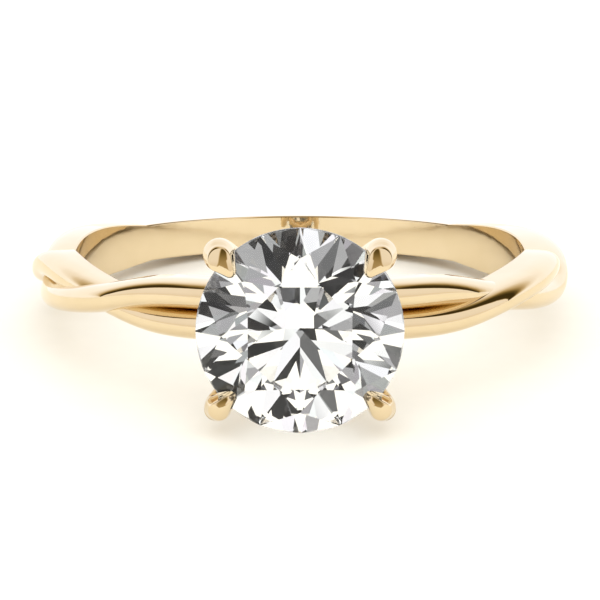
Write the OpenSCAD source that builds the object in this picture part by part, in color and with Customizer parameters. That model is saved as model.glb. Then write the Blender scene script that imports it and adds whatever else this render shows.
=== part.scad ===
// Twisted shank ring with a round stone in four claws.
// The ring lies on its side: it rests on the edge of the stone in front and
// on the lower edge of the plain band behind, so the stone looks a little up.
//
// Ring frame, used by every sub-part before the ring is laid down:
//   Z is the axis of the finger hole, -Y points to the stone,
//   angles are counted from the stone, positive towards -X.

/* [Finger] */
// Inside diameter of the finger hole
finger_d = 17.3; // [16.4:0.1:18.6]

/* [Twisted strands] */
// Half of the height of one strand along the finger
strand_half_h = 0.515; // [0.45:0.005:0.6]
// Distance of a strand's middle from the middle plane where the two lie side by side
strand_offset = 0.508; // [0.42:0.002:0.56]
// Wall from the finger hole to where the rounded outside of a strand begins
strand_flat = 0.53; // [0.45:0.01:0.65]
// How far a strand moves in or out where the strands cross
cross_depth = 0.214; // [0.1:0.002:0.26]
// How far the strand that passes behind lags in the twist, in degrees of twist
inner_lag = 6; // [0:1:10]

/* [Plain band] */
// Width of the plain band along the finger
band_w = 1.544; // [1.4:0.002:1.7]
// Thickness of the plain band behind the finger
band_t = 1.75; // [1.6:0.05:1.9]

/* [Stone] */
// Diameter of the stone
stone_d = 6.5; // [6:0.05:6.8]
// Width across the corners of the table, as a part of the diameter
table_ratio = 0.53; // [0.5:0.01:0.6]
// Slope of the crown's main facets, in degrees
crown_slope = 34.5; // [32:0.5:36]
// Slope of the pavilion's main facets, in degrees
pavilion_slope = 40.8; // [40:0.1:41.5]
// Thickness of the girdle
girdle_t = 0.17; // [0.16:0.01:0.2]
// Height of the girdle's middle above the axis of the finger hole
stone_reach = 12.3; // [12.2:0.05:12.6]

/* [Head] */
// Gap between the metal and the stone
stone_gap = 0.02; // [0.01:0.01:0.05]
// Radius of the wire of the gallery rail
rail_r = 0.3; // [0.25:0.01:0.34]

/* [Fineness] */
// Angle between two sections of a strand, in degrees
step = 3.75; // [2.5:0.25:5]

/* [Hidden] */

gold = [0.93, 0.79, 0.52];
clear = [0.92, 0.95, 0.97];

bore_r = finger_d / 2;
stone_r = stone_d / 2;
nose_n = 8;                 // steps round the outside of a strand
sunk = [0.25, 0.32, 0.4];   // how far the strands' and the band's sections reach into the finger hole before it is cut

// Twist of the strands. Columns: angle from the stone, twist, twist per degree of angle.
// The strands run straight under the head, cross at 90 and 270 degrees of twist,
// and go into the plain band on their way to 450.
twist_rows = [
    [   0.0,   0, 0.0],
    [  19.5,   0, 0.0],
    [  45.8,  90, 3.4],
    [  72.4, 180, 4.7],
    [  85.3, 270, 4.7],
    [ 112.3, 360, 3.0],
    [ 146.0, 450, 1.3],
    [ 180.0, 480, 0.0],
];

// Outside of a strand. Columns: angle from the stone, depth of the rounded part, squareness.
nose_rows = [
    [   0, 0.84, 2.2],
    [  86, 0.84, 2.4],
    [ 112, 1.00, 3.6],
    [ 180, 1.00, 3.6],
];
strand_end = 150;           // where the strands stop, inside the plain band

// Growth of the plain band out of the strands. Columns: angle from the stone, part of its thickness.
band_rows = [
    [ 114, 0.30],
    [ 124, 0.72],
    [ 136, 0.97],
    [ 146, 1.00],
    [ 180, 1.00],
];
band_corner = 0.3;

// One claw, in the plane through the stone's axis. Columns: distance from that axis,
// height above the finger axis, half width, half depth.
claw_rows = [
    [1.02,  9.55, 0.36, 0.36],
    [1.85, 10.42, 0.40, 0.38],
    [2.62, 11.15, 0.43, 0.40],
    [3.14, 11.75, 0.47, 0.42],
    [3.36, 12.30, 0.54, 0.46],
    [3.34, 12.78, 0.58, 0.50],
    [3.14, 13.06, 0.53, 0.44],
    [2.92, 13.14, 0.40, 0.32],
    [2.74, 13.10, 0.24, 0.20],
    [2.62, 13.05, 0.09, 0.10],
];
claw_sides = 12;
claw_fine = 2;              // sections between two rows

rail_h = 11.12;             // height of the gallery rail above the finger axis
rail_reach = 2.52;          // radius of the gallery rail
$fn = 72;

// ---- stone sizes, measured from the middle of the girdle
crown_tan = tan(crown_slope);
pav_tan = tan(pavilion_slope);
g2 = girdle_t / 2;
table_r = stone_r * table_ratio;
crown_h = (stone_r - table_r) * crown_tan;
star_r = (table_r * cos(22.5) + stone_r) / 2;
star_z = (stone_r - star_r * cos(22.5)) * crown_tan;
low_r = 0.23 * stone_r;
low_z = (stone_r - low_r * cos(22.5)) * pav_tan;
pav_h = stone_r * pav_tan;
rim_n = 5;                  // steps of the girdle in one half facet

// ---- how the ring lies down
rest_front_y = stone_reach - g2;
rest_back_y = bore_r + band_t - band_corner * 0.75;
lie = atan((stone_r - band_w / 2) / (rest_front_y + rest_back_y));
lift = stone_r * cos(lie) - rest_front_y * sin(lie);
front_reach = (stone_reach + 1.21) * cos(lie) + 2.55 * sin(lie);
back_reach = (bore_r + band_t) * cos(lie) + band_w / 2 * sin(lie);

// ---- curves through table rows
function cell(rows, x, i = 0) = (i >= len(rows) - 2 || x < rows[i + 1][0]) ? i : cell(rows, x, i + 1);
function smooth(rows, x) =
    let (i = cell(rows, x), a = rows[i], b = rows[i + 1], w = b[0] - a[0], s = (x - a[0]) / w)
    a[1] * (1 + 2 * s) * (1 - s) ^ 2 + a[2] * w * s * (1 - s) ^ 2
    + b[1] * s ^ 2 * (3 - 2 * s) + b[2] * w * s ^ 2 * (s - 1);
function linear(rows, x, col) =
    let (i = cell(rows, x), a = rows[i], b = rows[i + 1]) a[col] + (b[col] - a[col]) * (x - a[0]) / (b[0] - a[0]);

// A point of the ring frame at an angle from the stone
function ring_pt(ang, r, z) = [-r * sin(ang), -r * cos(ang), z];
function power(v, p) = sign(v) * abs(v) ^ (2 / p);

// ---- strands: side is 1 for the strand that is above in front of the ring, -1 for the other
function twist_at(ang) = sign(ang) * smooth(twist_rows, abs(ang));
function strand_in(ang, side) = max(0, -side * sin(twist_at(ang)));
function strand_r(ang, side) = bore_r + strand_flat + side * cross_depth * sin(twist_at(ang));
function strand_z(ang, side) = side * strand_offset * cos(twist_at(ang) - sign(ang) * inner_lag * strand_in(ang, side));

function strand_section(ang, side) =
    let (r = strand_r(ang, side), z = strand_z(ang, side), h = strand_half_h, in = bore_r - sunk[side > 0 ? 0 : 1],
         nose = linear(nose_rows, abs(ang), 1), p = linear(nose_rows, abs(ang), 2))
    concat(
        [[in, z + h]],
        [for (k = [0 : nose_n]) let (u = 90 - 180 * k / nose_n) [r + nose * power(cos(u), p), z + h * power(sin(u), p)]],
        [[in, z - h]]);

// ---- plain band
function band_section(ang) =
    let (t = band_t * linear(band_rows, 180 - abs(180 - ang), 1), c = min(band_corner, t / 2), w = band_w / 2)
    concat(
        [[bore_r - sunk[2], w]],
        [for (u = [90, 60, 30, 0]) [bore_r + t - c + c * cos(u), w - c + c * sin(u)]],
        [for (u = [0, -30, -60, -90]) [bore_r + t - c + c * cos(u), -w + c + c * sin(u)]],
        [[bore_r - sunk[2], -w]]);

// Joins equal rings of points into one closed skin with flat ends
module skin(rings) {
    m = len(rings[0]);
    n = len(rings);
    pts = [for (ring = rings) for (p = ring) p];
    walls = [for (i = [0 : n - 2], k = [0 : m - 1])
        let (l = (k + 1) % m, a = i * m + k, b = i * m + l, c = a + m, d = b + m)
        each [[a, d, b], [a, c, d]]];
    ends = [[for (k = [0 : m - 1]) k], [for (k = [m - 1 : -1 : 0]) (n - 1) * m + k]];
    polyhedron(points = pts, faces = concat(walls, ends), convexity = 10);
}

module strand(side) {
    last = strand_end - (side > 0 ? 0 : 1.2);
    skin([for (a = [last : -step : -last]) [for (p = strand_section(a, side)) ring_pt(a, p[0], p[1])]]);
}

module plain_band() {
    skin([for (a = [246 : -4 : 114]) [for (p = band_section(a)) ring_pt(a, p[0], p[1])]]);
}

// ---- head, in its own frame: Z along the stone's axis, from the finger axis outwards
function row_mix(rows, t, col) =      // Catmull-Rom through the rows
    let (n = len(rows), i = min(n - 2, floor(t)), s = t - i,
         p0 = rows[max(0, i - 1)][col], p1 = rows[i][col], p2 = rows[i + 1][col], p3 = rows[min(n - 1, i + 2)][col])
    0.5 * (2 * p1 + (p2 - p0) * s + (2 * p0 - 5 * p1 + 4 * p2 - p3) * s ^ 2 + (3 * p1 - p0 - 3 * p2 + p3) * s ^ 3);

function claw_ring(t) =
    let (last = len(claw_rows) - 1, e = 0.05,
         a = [for (c = [0, 1]) row_mix(claw_rows, max(0, t - e), c)],
         b = [for (c = [0, 1]) row_mix(claw_rows, min(last, t + e), c)],
         d = (b - a) / norm(b - a), o = [row_mix(claw_rows, t, 0), row_mix(claw_rows, t, 1)],
         hw = row_mix(claw_rows, t, 2), hd = row_mix(claw_rows, t, 3))
    [for (k = [0 : claw_sides - 1]) let (u = 360 * k / claw_sides)
        [o[0] + hd * cos(u) * d[1], hw * sin(u), o[1] - hd * cos(u) * d[0]]];

module claw() {
    skin([for (i = [0 : (len(claw_rows) - 1) * claw_fine]) claw_ring(i / claw_fine)]);
}

module collar() {
    rotate_extrude($fn = 48)
        polygon([[0, 9.2], [1.02, 9.2], [1.12, 9.6], [1.32, 10.0], [1.48, 10.3], [0, 10.3]]);
}

module gallery_rail() {
    translate([0, 0, rail_h]) rotate_extrude($fn = 48) translate([rail_reach, 0]) circle(r = rail_r, $fn = 12);
}

// Everything that the stone needs clear: its own outline, a little larger
module stone_seat() {
    g = stone_gap;
    z = stone_reach;
    rotate_extrude()
        polygon([
            [0, z - g2 - pav_h - g * 1.6],
            [low_r, z - g2 - low_z - g * 1.5],
            [stone_r + g, z - g2 - g * 0.5],
            [stone_r + g, z + g2 + g * 0.5],
            [star_r + g, z + g2 + star_z + g],
            [table_r + g, z + g2 + crown_h + g],
            [table_r + g, z + g2 + crown_h + 1],
            [0, z + g2 + crown_h + 1]]);
}

module head_frame() rotate([90, 0, 0]) children();

// The shank and the head before the finger hole and the seat are cut: one casting, one skin
module casting() {
    resize([0, 0, 0]) union() {
        strand(1);
        strand(-1);
        plain_band();
        head_frame() {
            for (k = [0 : 3]) rotate([0, 0, 45 + 90 * k]) claw();
            collar();
            gallery_rail();
        }
    }
}

module lie_down() translate([0, (front_reach - back_reach) / 2, lift]) rotate([-lie, 0, 0]) children();

module twisted_shank_with_claws() {
    color(gold) lie_down() difference() {
        casting();
        translate([0, 0, -5]) cylinder(r = bore_r, h = 10, $fn = 144);
        head_frame() stone_seat();
    }
}

// ---- stone. Main facets lie at 22.5 + 45 k degrees, so the table's edges lie square.
function at(r, az, z) = [r * cos(az), r * sin(az), z];

// Height that a half facet loses outside its chord, at step j of the girdle. fall is its slope across the chord.
function scallop(j, fall) = fall * stone_r * (cos((j % rim_n) * 22.5 / rim_n - 11.25) - cos(11.25));

module round_stone() {
    eighth = [0 : 7];
    main = [for (k = eighth) 22.5 + 45 * k];
    fall_top = star_z / (cos(11.25) * (stone_r - star_r));
    fall_low = low_z / (cos(11.25) * (stone_r - low_r));
    rim = [for (j = [0 : 16 * rim_n - 1]) j];
    top = 16;                                  // first point of the girdle's upper edge
    low = top + len(rim);                      // first point of its lower edge
    tip = low + len(rim);                      // tips of the lower halves, then the culet
    pts = concat(
        [for (a = main) at(table_r, a, g2 + crown_h)],
        [for (a = main) at(star_r, a + 22.5, g2 + star_z)],
        [for (j = rim) at(stone_r, 22.5 + j * 22.5 / rim_n, g2 - scallop(j, fall_top))],
        [for (j = rim) at(stone_r, 22.5 + j * 22.5 / rim_n, -g2 + scallop(j, fall_low))],
        [for (a = main) at(low_r, a + 22.5, -g2 - low_z)],
        [[0, 0, -g2 - pav_h]]);
    around = function (first, j) first + j % len(rim);
    faces = concat(
        [[for (k = eighth) k]],
        [for (k = eighth) let (p = (k + 7) % 8, g = 2 * k * rim_n, m = g + rim_n, n = g + 2 * rim_n) each [
            [k, 8 + k, (k + 1) % 8],                                          // star
            [k, 8 + p, top + g, 8 + k],                                       // main, crown
            concat([8 + k], [for (j = [g : m]) around(top, j)]),              // halves, crown
            concat([8 + k], [for (j = [m : n]) around(top, j)]),
            concat([tip + k], [for (j = [m : -1 : g]) around(low, j)]),       // halves, pavilion
            concat([tip + k], [for (j = [n : -1 : m]) around(low, j)]),
            [tip + 8, tip + k, low + g, tip + p]]],                           // main, pavilion
        [for (j = rim) [low + j, around(low, j + 1), around(top, j + 1), top + j]]);
    color(clear) lie_down() head_frame() translate([0, 0, stone_reach])
        polyhedron(points = pts, faces = [for (f = faces) [for (i = [len(f) - 1 : -1 : 0]) f[i]]], convexity = 2);
}

twisted_shank_with_claws();
round_stone();
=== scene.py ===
import math

import bmesh
import bpy
import numpy as np
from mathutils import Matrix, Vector
from mathutils.interpolate import poly_3d_calc


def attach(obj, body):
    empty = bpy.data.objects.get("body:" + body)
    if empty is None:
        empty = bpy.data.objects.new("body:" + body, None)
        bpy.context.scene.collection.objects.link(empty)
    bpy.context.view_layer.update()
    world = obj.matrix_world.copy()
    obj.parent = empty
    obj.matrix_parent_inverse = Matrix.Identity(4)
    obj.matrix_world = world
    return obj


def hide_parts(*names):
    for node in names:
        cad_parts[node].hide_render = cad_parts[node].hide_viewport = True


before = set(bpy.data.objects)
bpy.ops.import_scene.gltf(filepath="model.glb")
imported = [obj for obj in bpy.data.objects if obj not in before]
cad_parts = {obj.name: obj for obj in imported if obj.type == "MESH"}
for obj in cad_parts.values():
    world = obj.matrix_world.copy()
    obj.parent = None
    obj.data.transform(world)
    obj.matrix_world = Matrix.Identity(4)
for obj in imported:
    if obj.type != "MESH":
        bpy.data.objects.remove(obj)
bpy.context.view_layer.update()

MM = 0.001

# ---------------------------------------------------------------- sizes, in millimetres, as in the part
BORE_R = 8.65
HALF_H = 0.515
OFFSET = 0.508
FLAT = 0.53
CROSS = 0.214
LAG = 6.0
BAND_W, BAND_T = 1.544, 1.75
STONE_R = 3.25
TABLE = 0.53
CROWN_TAN = math.tan(math.radians(34.5))
PAV_TAN = math.tan(math.radians(40.8))
GIRDLE = 0.17
REACH = 12.3
GAP = 0.02
CORNER = 0.3
EDGE = 0.07                 # easing of the edges of the finger hole

REST_FRONT = REACH - GIRDLE / 2
REST_BACK = BORE_R + BAND_T - CORNER * 0.75
LIE = math.atan((STONE_R - BAND_W / 2) / (REST_FRONT + REST_BACK))
LIFT = STONE_R * math.cos(LIE) - REST_FRONT * math.sin(LIE)
FRONT = (REACH + 1.21) * math.cos(LIE) + 2.55 * math.sin(LIE)
BACK = (BORE_R + BAND_T) * math.cos(LIE) + BAND_W / 2 * math.sin(LIE)
SHIFT = (FRONT - BACK) / 2

# angle from the stone, twist, twist per degree
TWIST = [(0.0, 0, 0.0), (19.5, 0, 0.0), (45.8, 90, 3.4), (72.4, 180, 4.7), (85.3, 270, 4.7), (112.3, 360, 3.0), (146.0, 450, 1.3), (180.0, 480, 0.0)]
# angle, depth of the rounded outside, squareness
NOSE = [(0, 0.84, 2.2), (86, 0.84, 2.4), (112, 1.00, 3.6), (180, 1.00, 3.6)]
# angle, share of the band's thickness
BAND = [(114, 0.30), (124, 0.72), (136, 0.97), (146, 1.00), (180, 1.00)]
STRAND_END = 150.0


def lay(points):
    """Ring frame in mm to the row frame in metres."""
    p = np.asarray(points, float).reshape(-1, 3)
    c, s = math.cos(LIE), math.sin(LIE)
    return np.column_stack([p[:, 0], p[:, 1] * c + p[:, 2] * s + SHIFT, -p[:, 1] * s + p[:, 2] * c + LIFT]) * MM


def cell(rows, x):
    for i in range(len(rows) - 1):
        if x < rows[i + 1][0]:
            return i
    return len(rows) - 2


def hermite(rows, x):
    a, b = rows[cell(rows, x)], rows[cell(rows, x) + 1]
    w = b[0] - a[0]
    s = (x - a[0]) / w
    return a[1] * (1 + 2 * s) * (1 - s) ** 2 + a[2] * w * s * (1 - s) ** 2 + b[1] * s * s * (3 - 2 * s) + b[2] * w * s * s * (s - 1)


def linear(rows, x, col):
    a, b = rows[cell(rows, x)], rows[cell(rows, x) + 1]
    return a[col] + (b[col] - a[col]) * (x - a[0]) / (b[0] - a[0])


def twist(ang):
    return math.copysign(1, ang) * math.radians(hermite(TWIST, abs(ang)))


def strand_mid(ang, side):
    t = twist(ang)
    inner = max(0.0, -side * math.sin(t))
    return (BORE_R + FLAT + side * CROSS * math.sin(t),
            side * OFFSET * math.cos(t - math.copysign(1, ang) * math.radians(LAG) * inner))


def resample(line, n):
    line = np.asarray(line, float)
    step = np.concatenate([[0], np.cumsum(np.hypot(*np.diff(line, axis=0).T))])
    t = np.linspace(0, step[-1], n)
    return np.column_stack([np.interp(t, step, line[:, 0]), np.interp(t, step, line[:, 1])])


def power(v, p):
    return np.sign(v) * np.abs(v) ** (2 / p)


def eased(inner, top):
    """Eased upper edge of the finger hole, from the wall to the flat side, with a support point at each end."""
    e = np.linspace(0, math.pi / 2, 7)
    arc = np.column_stack([inner + EDGE - EDGE * np.cos(e), top - EDGE + EDGE * np.sin(e)])
    return np.vstack([[inner, top - EDGE - 0.008], arc, [inner + EDGE + 0.008, top]])


def strand_outline(ang, side, inner):
    """Closed outline (radius, height) of one strand, its inside wall at the radius inner, its edges eased."""
    r, z = strand_mid(ang, side)
    nose, p = linear(NOSE, abs(ang), 1), linear(NOSE, abs(ang), 2)
    u = np.linspace(math.pi / 2, -math.pi / 2, 241)
    round_part = resample(np.column_stack([r + nose * power(np.cos(u), p), z + HALF_H * power(np.sin(u), p)]), 41)
    top = eased(inner, HALF_H)
    flat = np.column_stack([np.linspace(inner + EDGE + 0.008, r, 4)[1:-1], np.full(2, HALF_H)])
    upper = np.vstack([top, flat])
    return np.vstack([upper + [0, z], round_part, upper[::-1] * [1, -1] + [0, z]])


def band_outline(ang, inner):
    t = BAND_T * linear(BAND, 180 - abs(180 - ang), 1)
    c, w = min(CORNER, t / 2), BAND_W / 2
    a = np.radians(np.linspace(90, 0, 13))
    outer = np.column_stack([BORE_R + t - c + c * np.cos(a), w - c + c * np.sin(a)])
    half = np.vstack([eased(inner, w), [BORE_R + t - c - 0.008, w], outer, [BORE_R + t, w - c - 0.008]])
    return np.vstack([half, half[::-1] * [1, -1]])


def ring_points(ang, outline):
    a = math.radians(ang)
    return np.column_stack([-outline[:, 0] * math.sin(a), -outline[:, 0] * math.cos(a), outline[:, 1]])


def skin(rings, closed=False):
    """Vertices and faces of a loft through equal rings."""
    n, m = len(rings), len(rings[0])
    verts = np.vstack(rings)
    faces = []
    for i in range(n if closed else n - 1):
        j = (i + 1) % n
        for k in range(m):
            l = (k + 1) % m
            faces.append((i * m + k, i * m + l, j * m + l, j * m + k))
    if not closed:
        faces.append(tuple(range(m - 1, -1, -1)))
        faces.append(tuple((n - 1) * m + k for k in range(m)))
    return verts, faces


LIE_TURN = np.array([[1, 0, 0], [0, math.cos(LIE), math.sin(LIE)], [0, -math.sin(LIE), math.cos(LIE)]])   # ring frame to row frame


def raw(name, part, sharp):
    """One closed mesh in the ring frame, in mm, smooth except at edges over the angle sharp."""
    verts, faces = part
    mesh = bpy.data.meshes.new(name)
    mesh.from_pydata(np.asarray(verts, float).tolist(), [], faces)
    bm = bmesh.new()
    bm.from_mesh(mesh)
    bmesh.ops.recalc_face_normals(bm, faces=bm.faces[:])
    bm.to_mesh(mesh)
    bm.free()
    mesh.polygons.foreach_set("use_smooth", [sharp > 0] * len(mesh.polygons))
    if sharp > 0:
        mesh.set_sharp_from_angle(angle=math.radians(sharp))
    return mesh


def solid(name, steps):
    """One closed object from rows (operation, part, sharp angle), with the surface normals of its sources."""
    sources, holders = [], []
    for k, (operation, part, sharp) in enumerate(steps):
        mesh = raw(f"{name}_{k}", part, sharp)
        tag = mesh.attributes.new("source", "INT", "FACE")
        tag.data.foreach_set("value", np.arange(len(mesh.polygons)) + k * 1000000)
        holder = bpy.data.objects.new(f"{name}_{k}", mesh)
        bpy.context.scene.collection.objects.link(holder)
        sources.append(mesh)
        holders.append(holder)
        if k:
            step = holders[0].modifiers.new("step", "BOOLEAN")
            step.operation, step.object, step.solver = operation, holder, "MANIFOLD"
    bpy.context.view_layer.update()
    mesh = bpy.data.meshes.new_from_object(holders[0].evaluated_get(bpy.context.evaluated_depsgraph_get()))
    mesh.name = name
    tags = np.zeros(len(mesh.polygons), int)
    mesh.attributes["source"].data.foreach_get("value", tags)
    mesh.attributes.remove(mesh.attributes["source"])
    mesh.materials.clear()
    mesh.polygons.foreach_set("material_index", [0] * len(mesh.polygons))

    corners = [[Vector(m.vertices[v].co) for v in range(len(m.vertices))] for m in sources]
    bent = []
    for m in sources:
        n = np.zeros(len(m.loops) * 3, np.float32)
        m.corner_normals.foreach_get("vector", n)
        bent.append(n.reshape(-1, 3))
    normals = np.zeros((len(mesh.loops), 3))
    for poly in mesh.polygons:
        k, index = divmod(int(tags[poly.index]), 1000000)
        src = sources[k].polygons[index]
        flip = -1.0 if src.normal.dot(poly.normal) < 0 else 1.0
        shape = [corners[k][v] for v in src.vertices]
        n = bent[k][src.loop_start:src.loop_start + src.loop_total]
        wall = all(math.hypot(v.x, v.y) < BORE_R + 0.006 for v in shape)
        for loop in range(poly.loop_start, poly.loop_start + poly.loop_total):
            p = mesh.vertices[mesh.loops[loop].vertex_index].co
            if wall:
                normals[loop] = (-p.x, -p.y, 0)
            elif len(shape) > 8:
                normals[loop] = poly.normal
            else:
                normals[loop] = flip * (np.array(poly_3d_calc(shape, p)) @ n)
    normals /= np.linalg.norm(normals, axis=1)[:, None]
    co = np.zeros(len(mesh.vertices) * 3, np.float32)
    mesh.vertices.foreach_get("co", co)
    mesh.vertices.foreach_set("co", lay(co).ravel().astype(np.float32))
    mesh.update()
    mesh.polygons.foreach_set("use_smooth", [True] * len(mesh.polygons))
    mesh.normals_split_custom_set((normals @ LIE_TURN.T).tolist())
    for holder in holders:
        bpy.data.objects.remove(holder)
    for m in sources:
        bpy.data.meshes.remove(m)
    obj = bpy.data.objects.new(name, mesh)
    bpy.context.scene.collection.objects.link(obj)
    return obj


# ---------------------------------------------------------------- shank
def strand(side, inner):
    """One strand. Past 145 degrees its inside wall rises into the band, so its end is buried."""
    end = STRAND_END if side > 0 else STRAND_END - 1.2
    return skin([ring_points(a, strand_outline(a, side, inner + 0.02 * max(0.0, abs(a) - 145.2))) for a in np.arange(-end, end + 0.01, 0.6)])


def lining():
    """Solder along the inside, which closes the groove between the strands on the finger's side."""
    inner = BORE_R + 0.003
    outline = np.array([(inner, 0.28), (inner + 0.45, 0.28), (inner + 0.45, -0.28), (inner, -0.28)])
    return skin([ring_points(a, outline) for a in np.arange(0, 360, 0.6)], closed=True)


def band(inner):
    return skin([ring_points(a, band_outline(a, inner)) for a in np.arange(114, 246.01, 0.6)])


# ---------------------------------------------------------------- head, Z along the stone's axis from the finger axis outwards
def head_to_ring(p):
    p = np.asarray(p, float)
    return np.column_stack([p[:, 0], -p[:, 2], p[:, 1]])


# claw wire: distance from the axis, height, half width, half depth
CLAW = np.array([
    (1.02, 9.55, 0.36, 0.36),
    (1.85, 10.42, 0.40, 0.40),
    (2.62, 11.15, 0.43, 0.43),
    (3.18, 11.75, 0.46, 0.46),
    (3.41, 12.22, 0.49, 0.49),
    (3.43, 12.50, 0.475, 0.475),
])
# end of the claw, in drop-shaped sections across the stone's axis: height, distance and radius of the drop's round end, distance and radius of its point
CLAW_END = np.array([
    (12.08, 3.38, 0.480, 2.94, 0.21),
    (12.40, 3.43, 0.495, 2.90, 0.235),
    (12.70, 3.43, 0.490, 2.89, 0.235),
    (12.90, 3.42, 0.455, 2.88, 0.225),
    (13.03, 3.405, 0.420, 2.875, 0.205),
    (13.11, 3.39, 0.398, 2.87, 0.185),
    (13.16, 3.38, 0.382, 2.87, 0.165),
    (13.195, 3.37, 0.366, 2.87, 0.145),
    (13.215, 3.36, 0.340, 2.88, 0.120),
    (13.226, 3.34, 0.280, 2.92, 0.085),
    (13.236, 3.31, 0.190, 3.01, 0.055),
    (13.242, 3.28, 0.090, 3.13, 0.025),
    (13.244, 3.26, 0.025, 3.21, 0.008),
])
# rounding of the end: distance of its middle, radius, fall along the claw and across it, away from the finger's plane, per unit
DOME = (3.30, 0.80, 0.28, 0.14)
OUT = 0.06                      # the claws stand this much further out than the tables say
# the two upper and the two lower claws are dressed a little differently: turn of the drop towards the finger's plane, in degrees,
# width of its round end, and how steeply its point bends down to the stone
UPPER, LOWER = (8.0, 1.0, 0.0), (2.0, 0.86, 0.8)


def dressing(turn):
    return UPPER if turn < 180 else LOWER


def catmull(rows, t):
    n = len(rows)
    i = min(n - 2, int(t))
    s = t - i
    p0, p1, p2, p3 = rows[max(0, i - 1)], rows[i], rows[i + 1], rows[min(n - 1, i + 2)]
    return 0.5 * (2 * p1 + (p2 - p0) * s + (2 * p0 - 5 * p1 + 4 * p2 - p3) * s ** 2 + (3 * p1 - p0 - 3 * p2 + p3) * s ** 3)


def claw(turn, sides=40, fine=8):
    rings = []
    last = len(CLAW) - 1
    u = np.linspace(0, 2 * math.pi, sides, endpoint=False)
    for t in np.linspace(0, last, last * fine + 1):
        o = catmull(CLAW, t)
        o[2] *= 1 + (dressing(turn)[1] - 1) * t / last
        d = catmull(CLAW, min(last, t + 0.05))[:2] - catmull(CLAW, max(0, t - 0.05))[:2]
        d /= np.linalg.norm(d)
        out = OUT * min(1.0, t / 2)
        rings.append(np.column_stack([o[0] + out + o[3] * np.cos(u) * d[1], o[2] * np.sin(u), o[1] - o[3] * np.cos(u) * d[0]]))
    return turn_round(*skin(rings), turn)


def turn_round(v, f, turn):
    """A shape in the X Z plane turned about the head's axis."""
    c, s = math.cos(math.radians(turn)), math.sin(math.radians(turn))
    return head_to_ring(np.asarray(v) @ np.array([[c, s, 0], [-s, c, 0], [0, 0, 1]])), f


def drop(far, r_far, near, r_near, n_far=49, n_near=17):
    """Outline of a drop: the hull of two circles on the X axis."""
    t = math.acos((r_far - r_near) / (far - near))
    big = np.linspace(math.pi - t, t - math.pi, n_far)
    small = np.linspace(t - math.pi, -math.pi - t, n_near)
    return np.vstack([np.column_stack([far + r_far * np.cos(big), r_far * np.sin(big)]),
                      np.column_stack([near + r_near * np.cos(small), r_near * np.sin(small)])])


def claw_end(turn, fine=6):
    """The end of a claw over the girdle: steep round sides, a small round edge and a drop-shaped, domed facet."""
    rings = []
    mid, radius, along, across = DOME
    sign = math.copysign(1, math.sin(math.radians(2 * turn)))
    lean, wide, bend = dressing(turn)
    c, s = math.cos(math.radians(lean)), sign * math.sin(math.radians(lean))
    last = len(CLAW_END) - 1
    for t in np.linspace(0, last, last * fine + 1):
        h, far, r_far, near, r_near = catmull(CLAW_END, t)
        o = drop(far + 0.3 * r_far * (1 - wide), r_far * wide, near - 0.03, r_near * 0.85)
        share = min(1.0, max(0.0, (h - 12.3) / 0.8))
        x, y = o[:, 0] - 3.43, o[:, 1]
        x, y = 3.43 + c * x - s * y, s * x + c * y
        dome = 0.04 - ((x - mid) ** 2 + y ** 2) / (2 * radius) - along * (x - mid) - sign * across * y - bend * np.maximum(0, 3.25 - x) ** 2
        rings.append(np.column_stack([x + OUT, y, h + share * dome]))
    return turn_round(*skin(rings), turn)


def turned(profile, n=96):
    """Closed solid of revolution about the head's axis from a profile (radius, height) that starts and ends on the axis."""
    profile = np.asarray(profile, float)
    inner = profile[1:-1]
    a = np.linspace(0, 2 * math.pi, n, endpoint=False)
    verts = [np.array([[0, 0, profile[0, 1]], [0, 0, profile[-1, 1]]])]
    for q in a:
        verts.append(np.column_stack([inner[:, 0] * math.cos(q), inner[:, 0] * math.sin(q), inner[:, 1]]))
    m = len(inner)
    faces = []
    for i in range(n):
        j = (i + 1) % n
        p, q = 2 + i * m, 2 + j * m
        faces.append((0, q, p))
        faces.append((1, p + m - 1, q + m - 1))
        for k in range(m - 1):
            faces.append((p + k, q + k, q + k + 1, p + k + 1))
    return head_to_ring(np.vstack(verts)), faces


def torus(radius, height, wire, n=160, m=24):
    rings = []
    u = np.linspace(0, 2 * math.pi, m, endpoint=False)
    for q in np.linspace(0, 2 * math.pi, n, endpoint=False):
        r = radius + wire * np.cos(u)
        rings.append(np.column_stack([r * math.cos(q), r * math.sin(q), height + wire * np.sin(u)]))
    v, f = skin(rings, closed=True)
    return head_to_ring(v), f


G2 = GIRDLE / 2
TABLE_R = STONE_R * TABLE
CROWN_H = (STONE_R - TABLE_R) * CROWN_TAN
COS8 = math.cos(math.radians(22.5))
STAR_R = (TABLE_R * COS8 + STONE_R) / 2
STAR_Z = (STONE_R - STAR_R * COS8) * CROWN_TAN
LOW_R = 0.23 * STONE_R
LOW_Z = (STONE_R - LOW_R * COS8) * PAV_TAN
PAV_H = STONE_R * PAV_TAN


def seat():
    z, g = REACH, GAP
    return turned([(0, z - G2 - PAV_H - g * 1.6), (LOW_R, z - G2 - LOW_Z - g * 1.5), (STONE_R + g, z - G2 - g * 0.5), (STONE_R + g, z + G2 + g * 0.5),
                   (STAR_R + g, z + G2 + STAR_Z + g), (TABLE_R + g, z + G2 + CROWN_H + g), (TABLE_R + g, z + G2 + CROWN_H + 1),
                   (0, z + G2 + CROWN_H + 1)], 144)


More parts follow.
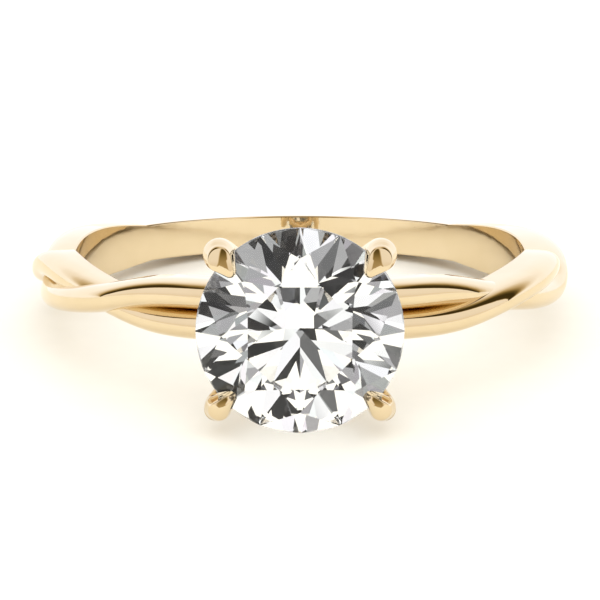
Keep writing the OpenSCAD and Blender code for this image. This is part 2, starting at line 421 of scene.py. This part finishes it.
def stone():
    """Round brilliant, its main facets at 22.5 + 45 k degrees."""
    def at(r, az, z):
        a = math.radians(az)
        return (r * math.cos(a), r * math.sin(a), z)

    n = 8                                       # girdle steps in a half facet
    c11 = math.cos(math.radians(11.25))
    fall_top = STAR_Z / (c11 * (STONE_R - STAR_R))
    fall_low = LOW_Z / (c11 * (STONE_R - LOW_R))
    dip = [STONE_R * (math.cos(math.radians((j % n) * 22.5 / n - 11.25)) - c11) for j in range(16 * n)]
    total = 16 * n
    main = [22.5 + 45 * k for k in range(8)]
    top, low = 16, 16 + total
    tip = low + total
    pts = [at(TABLE_R, a, G2 + CROWN_H) for a in main]
    pts += [at(STAR_R, a + 22.5, G2 + STAR_Z) for a in main]
    pts += [at(STONE_R, 22.5 + j * 22.5 / n, G2 - fall_top * dip[j]) for j in range(total)]
    pts += [at(STONE_R, 22.5 + j * 22.5 / n, -G2 + fall_low * dip[j]) for j in range(total)]
    pts += [at(LOW_R, a + 22.5, -G2 - LOW_Z) for a in main]
    pts += [(0, 0, -G2 - PAV_H)]
    faces = [tuple(range(8))]
    for k in range(8):
        p, g = (k + 7) % 8, 2 * k * n
        m, e = g + n, g + 2 * n
        faces += [(k, 8 + k, (k + 1) % 8), (k, 8 + p, top + g, 8 + k),
                  (8 + k, *[top + j % total for j in range(g, m + 1)]),
                  (8 + k, *[top + j % total for j in range(m, e + 1)]),
                  (tip + k, *[low + j % total for j in range(m, g - 1, -1)]),
                  (tip + k, *[low + j % total for j in range(e, m - 1, -1)]),
                  (tip + 8, tip + k, low + g, tip + p)]
    faces += [(low + j, low + (j + 1) % total, top + (j + 1) % total, top + j) for j in range(total)]
    pts = np.array(pts) + np.array([0, 0, REACH])
    return head_to_ring(pts), faces


# ---------------------------------------------------------------- materials
class Nodes:
    """Short helpers to wire one material."""

    def __init__(self, name):
        self.mat = bpy.data.materials.new(name)
        self.mat.use_nodes = True
        self.nt = self.mat.node_tree
        self.shader = self.nt.nodes["Principled BSDF"]
        self.place = self.add("ShaderNodeTexCoord").outputs["Object"]

    def add(self, kind, links=(), **settings):
        n = self.nt.nodes.new(kind)
        for key, value in settings.items():
            setattr(n, key, value)
        for socket, value in dict(links).items():
            self.put(n.inputs[socket], value)
        return n

    def put(self, socket, value):
        if isinstance(value, bpy.types.NodeSocket):
            self.nt.links.new(value, socket)
        else:
            socket.default_value = value

    def noise(self, scale, detail=2.0, stretch=(1, 1, 1)):
        at = self.add("ShaderNodeMapping", {"Vector": self.place, "Scale": stretch}).outputs[0]
        return self.add("ShaderNodeTexNoise", {"Vector": at, "Scale": scale, "Detail": detail}).outputs["Fac"]

    def span(self, value, low, high, to_low, to_high):
        return self.add("ShaderNodeMapRange", {"Value": value, "From Min": low, "From Max": high, "To Min": to_low, "To Max": to_high}).outputs[0]

    def mix(self, share, low, high):
        return self.add("ShaderNodeMix", {0: share, 6: low, 7: high}, data_type="RGBA").outputs[2]

    def math(self, op, low, high):
        return self.add("ShaderNodeMath", {0: low, 1: high}, operation=op).outputs[0]

    def bump(self, height, distance):
        self.put(self.shader.inputs["Normal"], self.add("ShaderNodeBump", {"Height": height, "Distance": distance, "Strength": 1.0}).outputs[0])


def gold_material():
    """Polished yellow gold: slight colour drift, polishing haze and fine polishing marks, with painted shade darkening
    the colour in the crevices.
    """
    m = Nodes("yellow_gold")
    m.put(m.shader.inputs["Metallic"], 1.0)
    drift = m.noise(700, 3.0)                           # about a millimetre and a half
    grain = m.noise(14000, 2.0, (1, 1, 0.25))           # polishing marks, under a tenth of a millimetre
    colour = m.mix(m.span(drift, 0.3, 0.7, 0.0, 1.0), (0.76, 0.615, 0.395, 1), (0.79, 0.645, 0.43, 1))
    # Painted shade: ambient occlusion darkens the gold's colour towards dark olive in the crevices and grooves between
    # the parts
    painted_crevice_shade = m.add("ShaderNodeAmbientOcclusion", {"Distance": 0.4 * MM}, samples=8, only_local=True).outputs["AO"]
    colour = m.mix(m.span(painted_crevice_shade, 0.05, 0.50, 0.0, 1.0), (0.62, 0.49, 0.25, 1), colour)
    # Through the stone the metal shows grey, as in the photo
    colour = m.mix(m.add("ShaderNodeLightPath").outputs["Is Transmission Ray"], colour, (0.17, 0.17, 0.18, 1))
    m.put(m.shader.inputs["Base Color"], colour)
    haze = m.math("ADD", m.span(drift, 0.3, 0.7, 0.015, 0.035), m.span(grain, 0.45, 0.75, 0.0, 0.035))
    m.put(m.shader.inputs["Roughness"], haze)
    m.bump(m.math("ADD", drift, m.math("MULTIPLY", grain, 0.035)), 0.006 * MM)
    return m.mat


def stone_material():
    """Clear polished stone with a finely ground girdle."""
    m = Nodes("clear_stone")
    m.put(m.shader.inputs["Base Color"], (1, 1, 1, 1))
    m.put(m.shader.inputs["IOR"], 2.417)
    m.put(m.shader.inputs["Transmission Weight"], 1.0)
    m.put(m.shader.inputs["Specular Tint"], (0.1, 0.1, 0.1, 1))
    # height over the middle of the girdle, along the stone's axis
    middle, outer = lay([(0, -REACH, 0), (0, -REACH - 1, 0)])
    along = m.add("ShaderNodeVectorMath", {0: m.place, 1: (outer - middle) / MM}, operation="DOT_PRODUCT").outputs["Value"]
    off = m.math("ABSOLUTE", m.math("SUBTRACT", along, float(middle @ (outer - middle) / MM)), 0.0)
    girdle = m.span(off, 0.86 * GIRDLE / 2 * MM, GIRDLE / 2 * MM, 1.0, 0.0)
    ground = m.span(m.noise(16000, 2.0), 0.3, 0.7, 0.12, 0.30)
    polish = m.span(m.noise(900, 2.0), 0.3, 0.7, 0.0, 0.004)
    m.put(m.shader.inputs["Roughness"], m.math("ADD", m.math("MULTIPLY", girdle, ground), polish))
    return m.mat


def floor_material():
    """Matt white card with a faint grain."""
    m = Nodes("studio_floor")
    grain = m.noise(900, 3.0)
    m.put(m.shader.inputs["Base Color"], m.mix(m.span(grain, 0.3, 0.7, 0.0, 1.0), (0.895, 0.895, 0.895, 1), (0.91, 0.91, 0.91, 1)))
    m.put(m.shader.inputs["Roughness"], m.span(grain, 0.3, 0.7, 0.6, 0.7))
    return m.mat


gold = gold_material()

CLAWS = (44.5, 135.5, 223.0, 317.0)
COLLAR = [(0, 9.2), (1.02, 9.2), (1.12, 9.6), (1.32, 10.0), (1.48, 10.3), (0, 10.3)]
metal = solid("gold_ring", [
    ("UNION", strand(1, BORE_R), 50),
    ("UNION", strand(-1, BORE_R + 0.002), 50),
    ("UNION", band(BORE_R + 0.004), 50),
    ("UNION", lining(), 50),
    ("UNION", turned(COLLAR), 30),
    ("UNION", torus(2.52, 11.12, 0.3), 50),
    *[("UNION", claw(t), 80) for t in CLAWS],
    *[("UNION", claw_end(t), 80) for t in CLAWS],
    ("DIFFERENCE", seat(), 12),
])
brilliant = solid("brilliant_stone", [("UNION", stone(), 0)])
brilliant.visible_diffuse = False               # the clear stone casts no shadow to speak of
metal.data.materials.append(gold)
brilliant.data.materials.append(stone_material())

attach(metal, "root")
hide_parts("twisted_shank_with_claws")
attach(brilliant, "root")
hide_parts("round_stone")

# ---------------------------------------------------------------- floor, light and camera
bpy.ops.mesh.primitive_plane_add(size=4, location=(0, 0, 0))
floor = bpy.context.object
floor.name = "studio_floor"
floor.data.materials.append(floor_material())

world = bpy.data.worlds.new("studio")
bpy.context.scene.world = world
world.use_nodes = True
wt = world.node_tree
for n in list(wt.nodes):
    wt.nodes.remove(n)


def wnode(kind, **inputs):
    n = wt.nodes.new(kind)
    for key, value in inputs.items():
        setattr(n, key, value)
    return n


def wmath(op, a, b=None, clamp=False):
    n = wnode("ShaderNodeMath", operation=op, use_clamp=clamp)
    for k, v in enumerate((a, b)):
        if v is None:
            continue
        if isinstance(v, (int, float)):
            n.inputs[k].default_value = v
        else:
            wt.links.new(v, n.inputs[k])
    return n.outputs[0]


def wramp(value, stops, interpolation="LINEAR"):
    """A brightness by value, from (position, brightness) rows. Brightness is stored at half scale."""
    n = wnode("ShaderNodeValToRGB")
    n.color_ramp.interpolation = interpolation
    e = n.color_ramp.elements
    while len(e) > 1:
        e.remove(e[-1])
    e[0].position = stops[0][0]
    e[0].color = (stops[0][1] / 2,) * 3 + (1,)
    for pos, v in stops[1:]:
        e.new(pos).color = (v / 2,) * 3 + (1,)
    wt.links.new(value, n.inputs[0])
    return wmath("MULTIPLY", n.outputs[0], 2.0)


coords = wnode("ShaderNodeTexCoord")
axes = wnode("ShaderNodeSeparateXYZ")
wt.links.new(coords.outputs["Generated"], axes.inputs[0])
dx, dy, dz = axes.outputs
# Angle about the X axis, from the horizon behind the ring (0) over the top (0.5) to the horizon in front (1)
over = wmath("DIVIDE", wmath("ARCTAN2", dz, dy), math.pi)
side = wmath("ABSOLUTE", wmath("ARCSINE", dx))
# Softboxes: bright behind and over the ring, with a gap between them just behind the top that closes in the middle
full = wramp(over, [(0.0, 1.32), (0.17, 1.34), (0.25, 1.25), (0.4, 1.15), (0.8, 1.12), (0.9, 1.06), (1.0, 1.02)])
slot = wramp(over, [(0.19, 0.0), (0.25, 0.08), (0.31, 0.45), (0.36, 0.85), (0.40, 0.95), (0.475, 0.95), (0.50, 0.85), (0.515, 0.05), (0.53, 0.0)])
slot = wmath("MULTIPLY", slot, wramp(side, [(0.17, 0.25), (0.42, 1.0)]))
# The gap between the lights in front, where the camera stands
front = wramp(over, [(0.50, 0.0), (0.53, 0.92), (0.62, 0.86), (0.75, 0.68), (0.93, 0.50), (0.998, 0.44), (1.0, 0.0)])
narrow = wramp(over, [(0.50, 0.14), (0.60, 0.30), (0.75, 0.46), (0.95, 0.66), (1.0, 0.68)])
front = wmath("MULTIPLY", front, wmath("MULTIPLY", wmath("SUBTRACT", narrow, side), 8.0, clamp=True))
metal_light = wmath("MULTIPLY", full, wmath("MULTIPLY", wmath("SUBTRACT", 1.0, slot), wmath("SUBTRACT", 1.0, front)))

# What the stone sees: the same room in short, hard-edged areas, from (azimuth, height, half width, half height, light) rows in degrees.
# Azimuth 0 is in front of the stone, + to the right; later rows lie over earlier ones.
STONE_ROOM = [
    (67.5, 30.0, 127.5, 40.0, 1.00),
    (-35.0, 45.0, 5.0, 10.0, 0.16),
    (-45.0, 47.5, 5.0, 32.5, 0.03),
    (-2.5, 25.0, 17.5, 30.0, 0.16),
    (-20.0, 20.0, 15.0, 15.0, 0.03),
    (30.0, 5.0, 10.0, 20.0, 0.42),
    (-75.0, 27.5, 35.0, 22.5, 0.03),
    (62.5, 55.0, 47.5, 25.0, 0.16),
    (-80.0, 0.0, 5.0, 15.0, 1.80),
    (40.0, 40.0, 20.0, 10.0, 0.42),
    (87.5, 27.5, 12.5, 22.5, 0.03),
    (-17.5, 20.0, 2.5, 5.0, 1.00),
    (15.0, 45.0, 20.0, 20.0, 0.42),
    (7.5, 0.0, 7.5, 15.0, 1.00),
]
azimuth = wmath("ARCTAN2", dx, wmath("MULTIPLY", dy, -1.0))
height = wmath("ARCSINE", dz)
stone_light = 1.25
for az, el, wide, tall, value in STONE_ROOM:
    def inside(x, mid, half):
        far = wmath("ABSOLUTE", wmath("SUBTRACT", x, math.radians(mid)))
        return wmath("MULTIPLY", wmath("SUBTRACT", math.radians(half), far), 40.0, clamp=True)
    area = wmath("MULTIPLY", inside(azimuth, az, wide), inside(height, el, tall))
    stone_light = wmath("ADD", wmath("MULTIPLY", area, value), wmath("MULTIPLY", wmath("SUBTRACT", 1.0, area), stone_light))

path = wnode("ShaderNodeLightPath")


def wmix(flag, off, on):
    """off where flag is 0, on where it is 1."""
    return wmath("ADD", wmath("MULTIPLY", flag, on), wmath("MULTIPLY", wmath("SUBTRACT", 1.0, flag), off))


light = wmix(path.outputs["Is Diffuse Ray"], metal_light, 1.46)
light = wmix(path.outputs["Is Transmission Ray"], light, stone_light)
light = wmix(path.outputs["Is Camera Ray"], light, 1.1)
back = wnode("ShaderNodeBackground")


def wtint(flag, low, high):
    """The first colour where flag is 0, the second where it is 1."""
    n = wnode("ShaderNodeMix", data_type="RGBA")
    for socket, v in ((n.inputs[0], flag), (n.inputs[6], low), (n.inputs[7], high)):
        if isinstance(v, bpy.types.NodeSocket):
            wt.links.new(v, socket)
        else:
            socket.default_value = v
    return n.outputs[2]


# Softboxes are cool and the gaps between them warm; what falls on the floor is a little warm
room_tint = wtint(wmath("POWER", wmath("DIVIDE", metal_light, 1.3, clamp=True), 1.5), (1, 0.70, 0.20, 1), (0.98, 1.01, 1.12, 1))
tint = wtint(path.outputs["Is Glossy Ray"], (1, 1, 1, 1), room_tint)
# The stone splits a little colour
fire = wnode("ShaderNodeTexNoise")
fire.inputs["Scale"].default_value = 7.0
fire.inputs["Detail"].default_value = 1.0
wt.links.new(coords.outputs["Generated"], fire.inputs["Vector"])
tint = wtint(path.outputs["Is Transmission Ray"], tint, wtint(0.16, (1.08, 1.08, 1.08, 1), fire.outputs["Color"]))
tint = wtint(path.outputs["Is Diffuse Ray"], tint, (1, 0.97, 0.88, 1))
wt.links.new(tint, back.inputs["Color"])
wt.links.new(light, back.inputs["Strength"])
out = wnode("ShaderNodeOutputWorld")
wt.links.new(back.outputs[0], out.inputs[0])
world.cycles.sampling_method = "NONE"

scene = bpy.context.scene
scene.view_settings.view_transform = "Standard"
scene.cycles.max_bounces = 24
scene.cycles.transmission_bounces = 24
scene.cycles.glossy_bounces = 12

CAM_D, CAM_E, CAM_P = 62.0, math.radians(9.519), math.radians(10.736)
cam = bpy.data.cameras.new("camera")
cam.sensor_width = 36
cam.lens = 1603.33 * 36 / 600
cam.clip_start = 0.001
cam.clip_end = 20
camera = bpy.data.objects.new("camera", cam)
scene.collection.objects.link(camera)
camera.location = lay([(0, -CAM_D * math.cos(CAM_E), CAM_D * math.sin(CAM_E))])[0].tolist()
camera.rotation_euler = (math.pi / 2 - CAM_P - LIE, 0, 0)
scene.camera = camera
